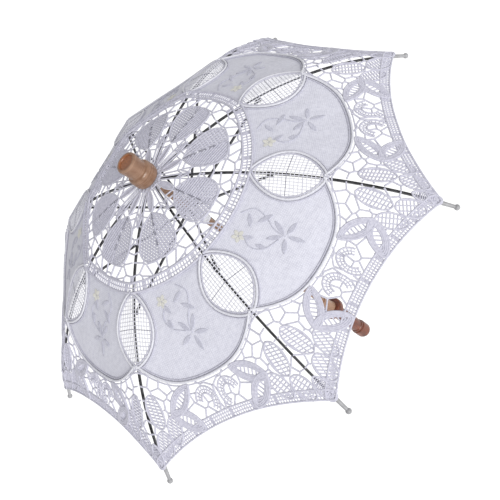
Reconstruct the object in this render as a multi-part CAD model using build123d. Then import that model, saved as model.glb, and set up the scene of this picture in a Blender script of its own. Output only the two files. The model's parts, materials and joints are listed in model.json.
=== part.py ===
from build123d import *
import math
import os

os.makedirs("parts", exist_ok=True)

# Driving sizes, in millimetres and degrees. Z runs up the shaft from the knob's foot.
RIB_COUNT = 8
RIB_STEP = 360.0 / RIB_COUNT
HALF_STEP = RIB_STEP / 2
CATCH_AZIMUTH = HALF_STEP
STOP_AZIMUTH = 5 * HALF_STEP
FOLD_ANGLE = 60.5

# Clearances.
FIXED_CLEARANCE = 0.05
SLIDE_CLEARANCE = 0.08
SIDE_CLEARANCE = 0.2
EYE_CLEARANCE = 0.3
PIN_CLEARANCE = 0.02
RIVET_CLEARANCE = 0.05

# Shaft and the heights that the frame hangs from.
SHAFT_RADIUS = 4.25
TIP_RADIUS = 280.0
ARC_RADIUS = 345.0
PIVOT_HEIGHT = 455.0
ARC_HEIGHT = PIVOT_HEIGHT - ARC_RADIUS

# Ribs.
RIB_WIDTH = 2.2
RIB_DEPTH = 2.0
RIB_EYE_RADIUS = 1.6
RIB_EYE_HOLE = 0.6
SLOT_WALL = 1.85
SLOT_ROOT = SHAFT_RADIUS + SLOT_WALL
PIVOT_RADIUS = SLOT_ROOT + RIB_EYE_RADIUS + EYE_CLEARANCE
RIB_END_RADIUS = TIP_RADIUS - 10.0

# White tips.
TIP_START_RADIUS = RIB_END_RADIUS - 2.5
TIP_SLEEVE_RADIUS = 2.2
TIP_NECK_RADIUS = 1.8
TIP_BALL_RADIUS = 3.0
TIP_LIP = 0.35
TIP_LIP_LENGTH = 1.2
SOCKET_SPARE = 0.6

# Struts and the riveted clips that join them to the ribs.
STRUT_LENGTH = 131.5
STRUT_WIDTH = RIB_WIDTH - SIDE_CLEARANCE
STRUT_DEPTH = 2.0
STRUT_EYE_RADIUS = 1.8
STRUT_FOOT_RADIUS = 1.5
STRUT_FOOT_HOLE = 0.5
JOINT_ANGLE = 21.96
JOINT_DROP = 3.6
RIVET_RADIUS = 0.6
RIVET_HEAD_RADIUS = 1.05
RIVET_HEAD_HEIGHT = 0.4
EAR_THICKNESS = 0.6
EAR_GAP = RIB_WIDTH / 2 + FIXED_CLEARANCE
EAR_LENGTH = 6.4
EAR_HEIGHT = 5.9
EAR_RISE = 1.25
WEB_THICKNESS = 0.45
WEB_DROP = 1.275
WEB_LENGTH = 4.4

# Notch and its wire.
HEAD_RADIUS = PIVOT_RADIUS + 2.5
NOTCH_HEIGHT = 6.6
NOTCH_FLOOR = PIVOT_HEIGHT - 5.0
NECK_LENGTH = 6.0
WIRE_RADIUS = 0.45
WIRE_CLEARANCE = 0.1

# Runner.
RUNNER_HALF_HEIGHT = 3.5
SLEEVE_RADIUS = SHAFT_RADIUS + 1.75
SLEEVE_LENGTH = 28.0
SLEEVE_GROOVES = (2.0, 4.0)
GROOVE_WIDTH = 0.6
GROOVE_DEPTH = 0.15

# Stop pin and sprung catches.
STOP_RADIUS = 0.6
STOP_HALF_LENGTH = SHAFT_RADIUS + 1.35
STOP_RISE = 4.6
CATCH_LENGTH = 25.5
CATCH_PROUD = 1.0
CATCH_THICKNESS = 1.0
CATCH_GAP = 0.6
CATCH_INNER = 1.0
CATCH_PIN_X = 2.3
CATCH_PIN_RADIUS = 0.5
CATCH_PIN_HALF_LENGTH = 3.0
CATCH_SLOT_WIDTH = 1.3
KEYWAY_WIDTH = 1.6
KEYWAY_DEPTH = CATCH_PROUD + 0.25

# Cover.
GORE_INNER_ARC = ARC_RADIUS + 1.9
GORE_THICKNESS = 0.8
GORE_OUTER_ARC = GORE_INNER_ARC + GORE_THICKNESS
GORE_MOUTH = PIVOT_RADIUS + 1.0
HEM_CORNER = TIP_RADIUS - 14.0
HEM_DIP = 13.75
GORE_GAP = 0.2

# Rosette, ferrule and the shaft's top.
ROSETTE_RADIUS = HEAD_RADIUS + 2.5
ROSETTE_FOOT = PIVOT_HEIGHT + 3.1
ROSETTE_THICKNESS = 0.8
ROSETTE_BORE = SHAFT_RADIUS + 0.25
FERRULE_FOOT = ROSETTE_FOOT + ROSETTE_THICKNESS + 0.3
FERRULE_BORE_DEPTH = 23.1
END_CLEARANCE = 0.3
SHAFT_TOP = FERRULE_FOOT + FERRULE_BORE_DEPTH - END_CLEARANCE
FERRULE_OUTLINE = (
    (11.4, 0.0),
    (13.4, 1.2),
    (14.3, 3.0),
    (14.6, 5.6),
    (14.6, 7.6),
    (14.0, 8.1),
    (14.6, 8.6),
    (14.6, 10.8),
    (14.0, 11.3),
    (14.6, 11.8),
    (14.3, 14.6),
    (13.4, 16.0),
    (11.6, 16.6),
    (11.4, 19.0),
    (11.7, 25.0),
    (12.3, 31.5),
    (12.0, 33.4),
    (11.0, 34.4),
    (9.8, 34.5),
    (8.8, 33.6),
    (8.4, 32.6),
    (0.0, 32.2),
)

# Handle, from the knob upwards.
KNOB_HEIGHT = 24.0
KNOB_RADIUS = 10.4
KNOB_DOME_HEIGHT = 9.0
KNOB_SHOULDER = 2.0
TENON_RADIUS = 4.0
TENON_LENGTH = 12.0
GRIP_LENGTH = 62.0
SHAFT_FOOT = KNOB_HEIGHT + 16.0
COLLAR_RADIUS = 14.6
COLLAR_HEIGHT = 11.0
TAPER_HEIGHT = 23.0
TAPER_LIP = 0.95
GRIP_TOP = KNOB_HEIGHT + GRIP_LENGTH
COLLAR_TOP = GRIP_TOP + COLLAR_HEIGHT
TAPER_TOP = COLLAR_TOP + TAPER_HEIGHT
GRIP_OUTLINE = (
    (8.6, 0.0),
    (9.4, 1.4),
    (9.4, 3.6),
    (8.4, 5.0),
    (8.8, 8.0),
    (9.3, 18.0),
    (9.5, 28.0),
    (9.2, 40.0),
    (8.6, 50.0),
    (8.2, 53.4),
    (9.3, 54.6),
    (9.3, 56.4),
    (8.2, 57.6),
    (9.6, 59.4),
)


def arc_point(radius, angle):
    a = math.radians(angle)
    return (PIVOT_RADIUS + radius * math.sin(a), ARC_HEIGHT + radius * math.cos(a))


def arc_angle(reach):
    return math.degrees(math.asin((reach - PIVOT_RADIUS) / ARC_RADIUS))


JOINT_X, JOINT_Z = arc_point(ARC_RADIUS - JOINT_DROP, JOINT_ANGLE)
STRUT_DROP = math.sqrt(STRUT_LENGTH**2 - (JOINT_X - PIVOT_RADIUS) ** 2)
RUNNER_HEIGHT = JOINT_Z - STRUT_DROP


def upright(sketch, half_width):
    return extrude(Plane.XZ * sketch, amount=half_width, both=True)


def disc(x, z, radius, half_width):
    return upright(Pos(x, z) * Circle(radius), half_width)


def ring(outer, inner, low, high):
    body = Pos(0, 0, low) * extrude(Circle(outer) - Circle(inner), amount=high - low)
    return body


def turned(points):
    profile = make_face(Polyline(*points, close=True))
    return revolve(Plane.XZ * profile, axis=Axis.Z)


def around(shape, azimuth):
    return Rot(0, 0, azimuth) * shape


def save(shape, name):
    export_step(shape, "parts/" + name + ".step")


def arc_bar(inner, outer, first, last, half_width):
    middle = (first + last) / 2
    top = ThreePointArc(arc_point(outer, first), arc_point(outer, middle), arc_point(outer, last))
    low = ThreePointArc(arc_point(inner, last), arc_point(inner, middle), arc_point(inner, first))
    end = Line(arc_point(outer, last), arc_point(inner, last))
    start = Line(arc_point(inner, first), arc_point(outer, first))
    return upright(make_face(top + end + low + start), half_width)


def make_rib():
    half = RIB_DEPTH / 2
    last = arc_angle(RIB_END_RADIUS)
    bar = arc_bar(ARC_RADIUS - half, ARC_RADIUS + half, 0.0, last, RIB_WIDTH / 2)
    eye = disc(PIVOT_RADIUS, PIVOT_HEIGHT, RIB_EYE_RADIUS, RIB_WIDTH / 2)
    hole = disc(PIVOT_RADIUS, PIVOT_HEIGHT, RIB_EYE_HOLE, RIB_WIDTH)
    return bar + eye - hole


def make_rib_tip():
    angle = arc_angle((TIP_START_RADIUS + RIB_END_RADIUS) / 2)
    x, z = arc_point(ARC_RADIUS, arc_angle(TIP_START_RADIUS))
    slope = math.radians(angle)
    length = (TIP_RADIUS - TIP_START_RADIUS) / math.cos(slope)
    along = (math.cos(slope), 0, -math.sin(slope))
    seat = Plane(origin=(x, 0, z), x_dir=(0, 1, 0), z_dir=along)
    shell = Cone(TIP_SLEEVE_RADIUS, TIP_NECK_RADIUS, length, align=(Align.CENTER, Align.CENTER, Align.MIN))
    ball = Pos(0, 0, length) * Sphere(TIP_BALL_RADIUS)
    lip = Cylinder(TIP_SLEEVE_RADIUS + TIP_LIP, TIP_LIP_LENGTH, align=(Align.CENTER, Align.CENTER, Align.MIN))
    wide = RIB_WIDTH + 2 * FIXED_CLEARANCE
    deep = RIB_DEPTH + 2 * FIXED_CLEARANCE
    bite = (RIB_END_RADIUS - TIP_START_RADIUS) / math.cos(slope) + SOCKET_SPARE
    socket = Pos(0, 0, bite / 2 - 1) * Box(wide, deep, bite + 2)
    return seat * (shell + ball + lip - socket)


def make_rib_joint():
    seat = Plane(
        origin=(JOINT_X, 0, JOINT_Z),
        x_dir=(math.cos(math.radians(JOINT_ANGLE)), 0, -math.sin(math.radians(JOINT_ANGLE))),
        z_dir=(0, -1, 0),
    )
    hole = Circle(RIVET_RADIUS + RIVET_CLEARANCE)
    ear_sketch = Pos(0, EAR_RISE) * RectangleRounded(EAR_LENGTH, EAR_HEIGHT, 1.4) - hole
    ear = extrude(ear_sketch, amount=EAR_THICKNESS)
    left = Pos(0, 0, EAR_GAP) * ear
    right = Pos(0, 0, -EAR_GAP - EAR_THICKNESS) * ear
    web = Pos(0, JOINT_DROP - WEB_DROP, 0) * Box(WEB_LENGTH, WEB_THICKNESS, 2 * EAR_GAP + 0.2)
    clip = left + right + web
    face = EAR_GAP + EAR_THICKNESS + FIXED_CLEARANCE
    pin = extrude(Circle(RIVET_RADIUS), amount=face + 0.1, both=True)
    head = Pos(0, 0, face) * extrude(Circle(RIVET_HEAD_RADIUS), amount=RIVET_HEAD_HEIGHT)
    foot = Pos(0, 0, -face - RIVET_HEAD_HEIGHT) * extrude(Circle(RIVET_HEAD_RADIUS), amount=RIVET_HEAD_HEIGHT)
    rivet = pin + head + foot
    return Compound(children=[seat * clip, seat * rivet])


def make_strut():
    angle = math.degrees(math.atan2(STRUT_DROP, JOINT_X - PIVOT_RADIUS))
    bar = Pos(-STRUT_LENGTH / 2, 0) * Rectangle(STRUT_LENGTH, STRUT_DEPTH)
    outline = bar + Circle(STRUT_EYE_RADIUS) + Pos(-STRUT_LENGTH, 0) * Circle(STRUT_FOOT_RADIUS)
    foot_hole = Pos(-STRUT_LENGTH, 0) * Circle(STRUT_FOOT_HOLE)
    outline = outline - Circle(RIVET_RADIUS + RIVET_CLEARANCE) - foot_hole
    placed = Pos(JOINT_X, JOINT_Z) * Rot(0, 0, angle) * outline
    return upright(placed, STRUT_WIDTH / 2)


def facet_profile(arc, reach_last, steps):
    last = math.degrees(math.asin((reach_last - PIVOT_RADIUS) / arc))
    shrink = math.cos(math.radians(HALF_STEP))
    points = []
    for i in range(steps + 1):
        x, z = arc_point(arc, last * i / steps)
        points.append((x * shrink, z))
    return points


def make_facet():
    top = facet_profile(GORE_OUTER_ARC, HEM_CORNER + 8, 12)
    low = facet_profile(GORE_INNER_ARC, HEM_CORNER + 8, 12)
    low.reverse()
    upper = Spline(*top)
    lower = Spline(*low)
    end = Line(top[-1], low[0])
    start = Line(low[-1], top[0])
    band = upright(make_face(upper + end + lower + start), HEM_CORNER / 2)
    return around(band, HALF_STEP)


def make_gore():
    turn = math.radians(HALF_STEP)
    far = 420.0
    shift_x = GORE_GAP * math.sin(turn)
    shift_y = -GORE_GAP * math.cos(turn)
    edge_far = (far * math.cos(turn) + shift_x, far * math.sin(turn) + shift_y)
    edge_near = (shift_x - shift_y / math.tan(turn), 0)
    wedge = extrude(make_face(Polyline(edge_near, (far, 0), edge_far, close=True)), amount=600)
    half_chord = HEM_CORNER * math.sin(turn)
    bow = (half_chord**2 + HEM_DIP**2) / (2 * HEM_DIP)
    reach = HEM_CORNER * math.cos(turn) - HEM_DIP + bow
    hem = Pos(reach * math.cos(turn), reach * math.sin(turn), 300) * Cylinder(bow, 700)
    mouth = Pos(0, 0, 300) * Cylinder(GORE_MOUTH, 700)
    half = (make_facet() & wedge) - hem - mouth
    half = half.solids().sort_by(SortBy.VOLUME)[-1]
    return half + mirror(half, about=Plane.XZ)


def slots(root, reach, width, low, high):
    cuts = []
    for k in range(RIB_COUNT):
        box = Pos((root + reach) / 2, 0, (low + high) / 2) * Box(reach - root, width, high - low)
        cuts.append(around(box, k * RIB_STEP))
    return cuts


def make_notch():
    low = NOTCH_FLOOR
    high = low + NOTCH_HEIGHT
    bore = SHAFT_RADIUS + FIXED_CLEARANCE
    body = ring(HEAD_RADIUS, bore, low, high) + ring(SLOT_ROOT - 0.1, bore, low - NECK_LENGTH, low)
    for cut in slots(SLOT_ROOT, HEAD_RADIUS + 2, RIB_WIDTH + 2 * SIDE_CLEARANCE, low - 1, high + 1):
        body = body - cut
    groove = Pos(0, 0, PIVOT_HEIGHT) * Torus(PIVOT_RADIUS, WIRE_RADIUS + WIRE_CLEARANCE)
    return body - groove


def make_notch_wire():
    return Pos(0, 0, PIVOT_HEIGHT) * Torus(PIVOT_RADIUS, WIRE_RADIUS)


def make_rosette():
    return ring(ROSETTE_RADIUS, ROSETTE_BORE, ROSETTE_FOOT, ROSETTE_FOOT + ROSETTE_THICKNESS)


def make_runner_crown():
    low = RUNNER_HEIGHT - RUNNER_HALF_HEIGHT
    high = RUNNER_HEIGHT + RUNNER_HALF_HEIGHT
    body = ring(HEAD_RADIUS, SHAFT_RADIUS + SLIDE_CLEARANCE, low, high)
    for cut in slots(SLOT_ROOT, HEAD_RADIUS + 2, STRUT_WIDTH + 2 * SIDE_CLEARANCE, low - 1, high + 1):
        body = body - cut
    return body - keyway(low - 1, high + 1)


def make_runner_sleeve():
    high = RUNNER_HEIGHT - RUNNER_HALF_HEIGHT
    low = high - SLEEVE_LENGTH
    body = ring(SLEEVE_RADIUS, SHAFT_RADIUS + SLIDE_CLEARANCE, low, high)
    for rise in SLEEVE_GROOVES:
        level = low + rise
        body = body - ring(SLEEVE_RADIUS + 1, SLEEVE_RADIUS - GROOVE_DEPTH, level, level + GROOVE_WIDTH)
    return body - keyway(low - 1, high + 1)


def keyway(low, high):
    box = Pos(SHAFT_RADIUS + KEYWAY_DEPTH / 2, 0, (low + high) / 2) * Box(KEYWAY_DEPTH, KEYWAY_WIDTH, high - low)
    return around(box, CATCH_AZIMUTH)


def closed_runner_height():
    a = math.radians(FOLD_ANGLE)
    dx = JOINT_X - PIVOT_RADIUS
    dz = JOINT_Z - PIVOT_HEIGHT
    x = dx * math.cos(a) + dz * math.sin(a)
    z = -dx * math.sin(a) + dz * math.cos(a)
    return PIVOT_HEIGHT + z - math.sqrt(STRUT_LENGTH**2 - x**2)


TOP_CATCH_TIP = RUNNER_HEIGHT - RUNNER_HALF_HEIGHT - SLEEVE_LENGTH - CATCH_GAP
TOP_CATCH_PIVOT = TOP_CATCH_TIP - CATCH_LENGTH
LOW_CATCH_TIP = closed_runner_height() + RUNNER_HALF_HEIGHT + CATCH_GAP + 0.3
LOW_CATCH_PIVOT = LOW_CATCH_TIP + CATCH_LENGTH


def make_catch(pivot, tip):
    way = 1 if tip > pivot else -1
    proud = SHAFT_RADIUS + CATCH_PROUD
    outline = Polyline(
        (CATCH_INNER, pivot - way * 1.6),
        (SHAFT_RADIUS - 0.65, pivot - way * 1.6),
        (SHAFT_RADIUS - 0.35, pivot),
        (proud, tip - way * 1.2),
        (proud, tip),
        (CATCH_PIN_X + 0.4, tip),
        (CATCH_INNER, pivot),
        close=True,
    )
    plate = upright(make_face(outline), CATCH_THICKNESS / 2)
    hole = disc(CATCH_PIN_X, pivot, CATCH_PIN_RADIUS + 3 * PIN_CLEARANCE, CATCH_THICKNESS)
    return around(plate - hole, CATCH_AZIMUTH)


def make_catch_pins():
    pins = []
    for pivot in (TOP_CATCH_PIVOT, LOW_CATCH_PIVOT):
        pin = disc(CATCH_PIN_X, pivot, CATCH_PIN_RADIUS, CATCH_PIN_HALF_LENGTH)
        pins.append(around(pin, CATCH_AZIMUTH))
    return Compound(children=pins)


def catch_slot(pivot, tip):
    way = 1 if tip > pivot else -1
    foot = pivot - way * 2.4
    head = tip + way
    reach = SHAFT_RADIUS + 0.55
    cut = Pos(reach / 2, 0, (foot + head) / 2) * Box(reach, CATCH_SLOT_WIDTH, abs(head - foot))
    hole = disc(CATCH_PIN_X, pivot, CATCH_PIN_RADIUS + PIN_CLEARANCE, CATCH_PIN_HALF_LENGTH + 0.2)
    return around(cut + hole, CATCH_AZIMUTH)


def make_shaft():
    body = Pos(0, 0, SHAFT_FOOT) * extrude(Circle(SHAFT_RADIUS), amount=SHAFT_TOP - SHAFT_FOOT)
    body = body - catch_slot(TOP_CATCH_PIVOT, TOP_CATCH_TIP)
    body = body - catch_slot(LOW_CATCH_PIVOT, LOW_CATCH_TIP)
    hole = disc(0, RUNNER_HEIGHT + STOP_RISE, STOP_RADIUS + PIN_CLEARANCE, STOP_HALF_LENGTH + 1)
    return body - around(hole, STOP_AZIMUTH)


def make_stop_pin():
    pin = disc(0, RUNNER_HEIGHT + STOP_RISE, STOP_RADIUS, STOP_HALF_LENGTH)
    return around(pin, STOP_AZIMUTH)


def make_ferrule():
    bore = SHAFT_RADIUS + FIXED_CLEARANCE
    points = [(bore, FERRULE_FOOT)]
    points += [(radius, FERRULE_FOOT + rise) for radius, rise in FERRULE_OUTLINE]
    points += [(0, FERRULE_FOOT + FERRULE_BORE_DEPTH), (bore, FERRULE_FOOT + FERRULE_BORE_DEPTH)]
    return turned(points)


def make_knob():
    top = KNOB_HEIGHT - KNOB_SHOULDER
    bore = TENON_RADIUS + FIXED_CLEARANCE
    floor = KNOB_HEIGHT - TENON_LENGTH - 0.2
    share = math.sqrt(0.5)
    dome = Spline(
        (0, 0),
        (KNOB_RADIUS * share, KNOB_DOME_HEIGHT * (1 - share)),
        (KNOB_RADIUS, KNOB_DOME_HEIGHT),
        tangents=((1, 0), (0, 1)),
    )
    rest = Polyline(
        (KNOB_RADIUS, KNOB_DOME_HEIGHT),
        (KNOB_RADIUS, top),
        (KNOB_RADIUS - 0.5, KNOB_HEIGHT - 0.7),
        (KNOB_RADIUS - 1.6, KNOB_HEIGHT),
        (bore, KNOB_HEIGHT),
        (bore, floor),
        (0, floor),
        (0, 0),
    )
    return revolve(Plane.XZ * make_face(dome + rest), axis=Axis.Z)


def make_grip():
    bore = SHAFT_RADIUS + FIXED_CLEARANCE
    points = [
        (0, KNOB_HEIGHT - TENON_LENGTH),
        (TENON_RADIUS, KNOB_HEIGHT - TENON_LENGTH),
        (TENON_RADIUS, KNOB_HEIGHT),
    ]
    points += [(radius, KNOB_HEIGHT + rise) for radius, rise in GRIP_OUTLINE]
    points += [(9.8, GRIP_TOP), (bore, GRIP_TOP), (bore, SHAFT_FOOT - 0.5), (0, SHAFT_FOOT - 0.5)]
    return turned(points)


def make_collar():
    bore = SHAFT_RADIUS + FIXED_CLEARANCE
    points = [
        (bore, GRIP_TOP),
        (COLLAR_RADIUS - 3.1, GRIP_TOP),
        (COLLAR_RADIUS - 0.9, GRIP_TOP + 1.0),
        (COLLAR_RADIUS, GRIP_TOP + 3.0),
        (COLLAR_RADIUS, COLLAR_TOP - 3.0),
        (COLLAR_RADIUS - 0.7, COLLAR_TOP - 1.2),
        (COLLAR_RADIUS - 2.5, COLLAR_TOP),
        (bore, COLLAR_TOP),
    ]
    return turned(points)


def make_taper():
    bore = SHAFT_RADIUS + FIXED_CLEARANCE
    points = [
        (bore, COLLAR_TOP),
        (7.7, COLLAR_TOP),
        (8.0, COLLAR_TOP + 1.4),
        (7.6, COLLAR_TOP + 2.8),
        (7.0, COLLAR_TOP + 7.0),
        (6.0, COLLAR_TOP + 15.0),
        (SHAFT_RADIUS + TAPER_LIP, TAPER_TOP),
        (bore, TAPER_TOP),
    ]
    return turned(points)


def main():
    save(make_shaft(), "wooden_shaft")
    save(make_ferrule(), "ferrule")
    save(make_notch(), "top_notch")
    save(make_notch_wire(), "notch_wire")
    save(make_rosette(), "canopy_rosette")
    save(make_stop_pin(), "stop_pin")
    save(make_catch_pins(), "catch_pins")
    save(make_taper(), "handle_taper")
    save(make_collar(), "handle_collar")
    save(make_grip(), "handle_grip")
    save(make_knob(), "handle_knob")
    save(make_runner_crown(), "runner_crown")
    save(make_runner_sleeve(), "runner_sleeve")
    save(make_catch(TOP_CATCH_PIVOT, TOP_CATCH_TIP), "top_catch")
    save(make_catch(LOW_CATCH_PIVOT, LOW_CATCH_TIP), "bottom_catch")
    rib = make_rib()
    tip = make_rib_tip()
    clip = make_rib_joint()
    strut = make_strut()
    gore = make_gore()
    for k in range(RIB_COUNT):
        number = str(k + 1)
        azimuth = k * RIB_STEP
        save(around(rib, azimuth), "rib_" + number)
        save(around(tip, azimuth), "rib_tip_" + number)
        save(around(clip, azimuth), "rib_joint_" + number)
        save(around(strut, azimuth), "strut_" + number)
        save(around(gore, azimuth), "canopy_gore_" + number)


main()
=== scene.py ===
"""Lace parasol: lace cover, cloth panels and finishes built around the fixed frame."""

from __future__ import annotations

import itertools
import json
import logging
import math
import random
from dataclasses import dataclass, field, replace
from enum import Enum

import bmesh
import bpy
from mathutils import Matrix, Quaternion, Vector, geometry, noise

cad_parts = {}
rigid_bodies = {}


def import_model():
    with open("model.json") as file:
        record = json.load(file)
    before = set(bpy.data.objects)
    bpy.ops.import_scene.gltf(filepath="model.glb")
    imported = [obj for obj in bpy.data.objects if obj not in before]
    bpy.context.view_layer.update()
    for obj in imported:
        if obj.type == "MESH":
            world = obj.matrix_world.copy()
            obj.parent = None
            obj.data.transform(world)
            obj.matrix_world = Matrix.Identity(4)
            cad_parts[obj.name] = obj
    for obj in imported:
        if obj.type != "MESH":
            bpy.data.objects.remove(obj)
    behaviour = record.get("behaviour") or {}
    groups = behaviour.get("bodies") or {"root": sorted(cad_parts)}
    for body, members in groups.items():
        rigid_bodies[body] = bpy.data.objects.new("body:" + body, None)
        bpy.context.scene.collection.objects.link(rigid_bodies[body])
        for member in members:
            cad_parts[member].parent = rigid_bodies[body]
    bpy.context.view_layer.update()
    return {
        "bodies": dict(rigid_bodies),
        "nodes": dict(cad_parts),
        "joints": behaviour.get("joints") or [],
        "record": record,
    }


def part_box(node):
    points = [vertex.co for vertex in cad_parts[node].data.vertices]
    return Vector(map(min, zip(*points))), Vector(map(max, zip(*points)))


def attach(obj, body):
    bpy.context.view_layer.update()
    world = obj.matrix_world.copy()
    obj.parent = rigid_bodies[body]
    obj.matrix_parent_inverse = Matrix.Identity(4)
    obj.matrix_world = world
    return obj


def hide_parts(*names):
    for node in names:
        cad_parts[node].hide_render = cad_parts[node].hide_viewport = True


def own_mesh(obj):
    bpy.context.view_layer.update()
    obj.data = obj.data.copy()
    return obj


LOG = logging.getLogger("parasol")

Plan = tuple[float, float]
Line = list[Plan]
Triple = tuple[float, float, float]

RIB_COUNT = 8
HALF_ANGLE = math.pi / RIB_COUNT
SLANT = math.tan(HALF_ANGLE)
TIP_BALL_RADIUS = 0.0030
RIB_ARC_RADIUS = 0.345
CLOTH_ABOVE_RIB = 0.0023


def turn(point: Plan, angle: float) -> Plan:
    """Turns a plan point about the shaft, anticlockwise."""
    c, s = math.cos(angle), math.sin(angle)
    return (point[0] * c - point[1] * s, point[0] * s + point[1] * c)


def distance(a: Plan, b: Plan) -> float:
    """Distance between two plan points."""
    return math.hypot(b[0] - a[0], b[1] - a[1])


def smooth(points: Line, steps: int = 6, closed: bool = False) -> Line:
    """Runs a Catmull-Rom curve through a few points.

    Args:
        points: Points that the curve passes through.
        steps: Samples between two points.
        closed: Whether the curve comes back to its start.

    Returns:
        The sampled curve.
    """
    count = len(points)
    spans = count if closed else count - 1
    result: Line = []
    for i in range(spans):
        around = range(i - 1, i + 3)
        p = [points[k % count] if closed else points[min(max(k, 0), count - 1)] for k in around]
        for j in range(steps):
            t = j / steps
            result.append(
                tuple(
                    0.5 * (2 * b + (c - a) * t + (2 * a - 5 * b + 4 * c - d) * t * t + (3 * b - a - 3 * c + d) * t**3)
                    for a, b, c, d in zip(*p)
                )
            )
    result.append(result[0] if closed else points[-1])
    return result


def resample(line: Line, pitch: float) -> Line:
    """Spaces points evenly along a line.

    Args:
        line: Points of the line.
        pitch: Wanted spacing.

    Returns:
        The evenly spaced points, ends kept.
    """
    runs = [distance(a, b) for a, b in zip(line, line[1:])]
    total = sum(runs)
    count = max(1, round(total / pitch))
    result, index, before = [line[0]], 0, 0.0
    for i in range(1, count):
        target = total * i / count
        while index < len(runs) - 1 and before + runs[index] < target:
            before += runs[index]
            index += 1
        t = (target - before) / max(runs[index], 1e-12)
        a, b = line[index], line[index + 1]
        result.append((a[0] + (b[0] - a[0]) * t, a[1] + (b[1] - a[1]) * t))
    result.append(line[-1])
    return result


def beside(line: Line, gap: float) -> Line:
    """Offsets a line sideways.

    Args:
        line: Points of the line.
        gap: Offset to the left of its direction.

    Returns:
        The offset points.
    """
    result: Line = []
    for i, point in enumerate(line):
        a, b = line[max(i - 1, 0)], line[min(i + 1, len(line) - 1)]
        length = max(distance(a, b), 1e-9)
        result.append((point[0] - (b[1] - a[1]) / length * gap, point[1] + (b[0] - a[0]) / length * gap))
    return result


def holds(outline: Line, point: Plan) -> bool:
    """Tells whether a closed outline goes round a point.

    Args:
        outline: Points of the outline.
        point: Plan point.

    Returns:
        True inside the outline.
    """
    inside = False
    for (ax, ay), (bx, by) in zip(outline, outline[1:] + outline[:1]):
        if (ay > point[1]) != (by > point[1]) and point[0] < (bx - ax) * (point[1] - ay) / (by - ay) + ax:
            inside = not inside
    return inside


def petal_outline(centre: Plan, angle: float, length: float, width: float, blunt: float) -> Line:
    """Draws a petal.

    Args:
        centre: Its middle.
        angle: Direction of its length.
        length: Length.
        width: Width.
        blunt: Power of its sides, small for a round petal.

    Returns:
        The closed outline, its first point repeated at the end.
    """
    steps = 14
    half = []
    for i in range(steps + 1):
        side = width / 2 * math.sin(math.pi * i / steps) ** blunt
        half.append((length * (i / steps - 0.5), side))
    rim = half + [(x, -y) for x, y in half[::-1][1:]]
    return [(turn(p, angle)[0] + centre[0], turn(p, angle)[1] + centre[1]) for p in rim]


@dataclass(frozen=True)
class Dome:
    """The eight-sided dome that the cover is stretched over, one flat-ruled facet between two ribs."""

    pivot_radius: float
    arc_radius: float
    arc_height: float
    ripple: float = 0.0007
    ripple_scale: float = 26.0
    steepest: float = 0.97

    def place(self, point: Plan, lift: float, azimuth: float) -> Vector:
        """Lifts a plan point onto the dome.

        Args:
            point: Plan point with its rib along +X.
            lift: Height above the cloth, along the normal.
            azimuth: Where the rib stands round the shaft.

        Returns:
            The point in space.
        """
        x, y = point
        side = -1.0 if y < 0 else 1.0
        run = min((x + abs(y) * SLANT - self.pivot_radius) / self.arc_radius, self.steepest)
        height = self.arc_height + self.arc_radius * math.sqrt(1 - run * run)
        slope = run / math.sqrt(1 - run * run)
        normal = Vector((slope, slope * SLANT * side, 1.0)).normalized()
        spot = Vector((x, y, height))
        c, s = math.cos(azimuth), math.sin(azimuth)
        spot = Vector((spot.x * c - spot.y * s, spot.x * s + spot.y * c, spot.z))
        normal = Vector((normal.x * c - normal.y * s, normal.x * s + normal.y * c, normal.z))
        swell = self.ripple * noise.noise(spot * self.ripple_scale)
        return spot + normal * (lift + swell)

    def arc_length(self, point: Plan) -> float:
        """Length along the cloth from the shaft to a plan point's level."""
        run = min((point[0] + abs(point[1]) * SLANT - self.pivot_radius) / self.arc_radius, self.steepest)
        return self.arc_radius * math.asin(run)


@dataclass(frozen=True)
class Rim:
    """A closed ring round the shaft, the same in every panel: radius against angle from the panel's middle."""

    half: tuple[tuple[float, float], ...]

    def radius(self, angle: float) -> float:
        """Reads the radius at an angle from the panel's middle line.

        Args:
            angle: Angle in radians, either side.

        Returns:
            The radius.
        """
        a = min(abs(angle), HALF_ANGLE)
        for (a0, r0), (a1, r1) in zip(self.half, self.half[1:]):
            if a <= a1:
                return r0 + (r1 - r0) * (a - a0) / max(a1 - a0, 1e-9)
        return self.half[-1][1]

    def line(self, count: int = 40) -> Line:
        """The ring's stretch across one panel, from rib to rib, in the panel's plan."""
        angles = [HALF_ANGLE * (2 * i / count - 1) for i in range(count + 1)]
        return [(self.radius(a) * math.cos(a), self.radius(a) * math.sin(a)) for a in angles]


def rim_through(points: Line, size: float) -> Rim:
    """Makes a rim through a few panel points between the middle line and the rib, as shares of a size."""
    curve = smooth([(x * size, y * size) for x, y in points], 8)
    return Rim(tuple((math.atan2(y, x), math.hypot(x, y)) for x, y in curve))


def even_rim(middle: float, rib: float, size: float) -> Rim:
    """Makes a rim that eases from one radius mid-panel to another at the rib.

    Args:
        middle: Radius mid-panel, as a share of the tip radius.
        rib: Radius at the rib, as a share of the tip radius.
        size: Tip radius.

    Returns:
        The rim.
    """
    steps = 16
    reach = [size * (middle + (rib - middle) * (i / steps) ** 2) for i in range(steps + 1)]
    return Rim(tuple((HALF_ANGLE * i / steps, radius) for i, radius in enumerate(reach)))


class Fill(Enum):
    """How a petal or leaf is worked inside its outline."""

    BARS = "bars"
    NET = "net"
    SATIN = "satin"
    STRIPES = "stripes"


@dataclass(frozen=True)
class Rows:
    """One set of parallel threads inside an outline, leaning from the outline's length."""

    lean: float
    pitch: float
    radius: float
    lift: float = 0.0


@dataclass(frozen=True)
class Tape:
    """How a ladder tape is made: radius of its edge cords and threads, pitch of its rungs, and its warps."""

    edge: float
    thread: float
    pitch: float
    warps: int = 1


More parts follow.
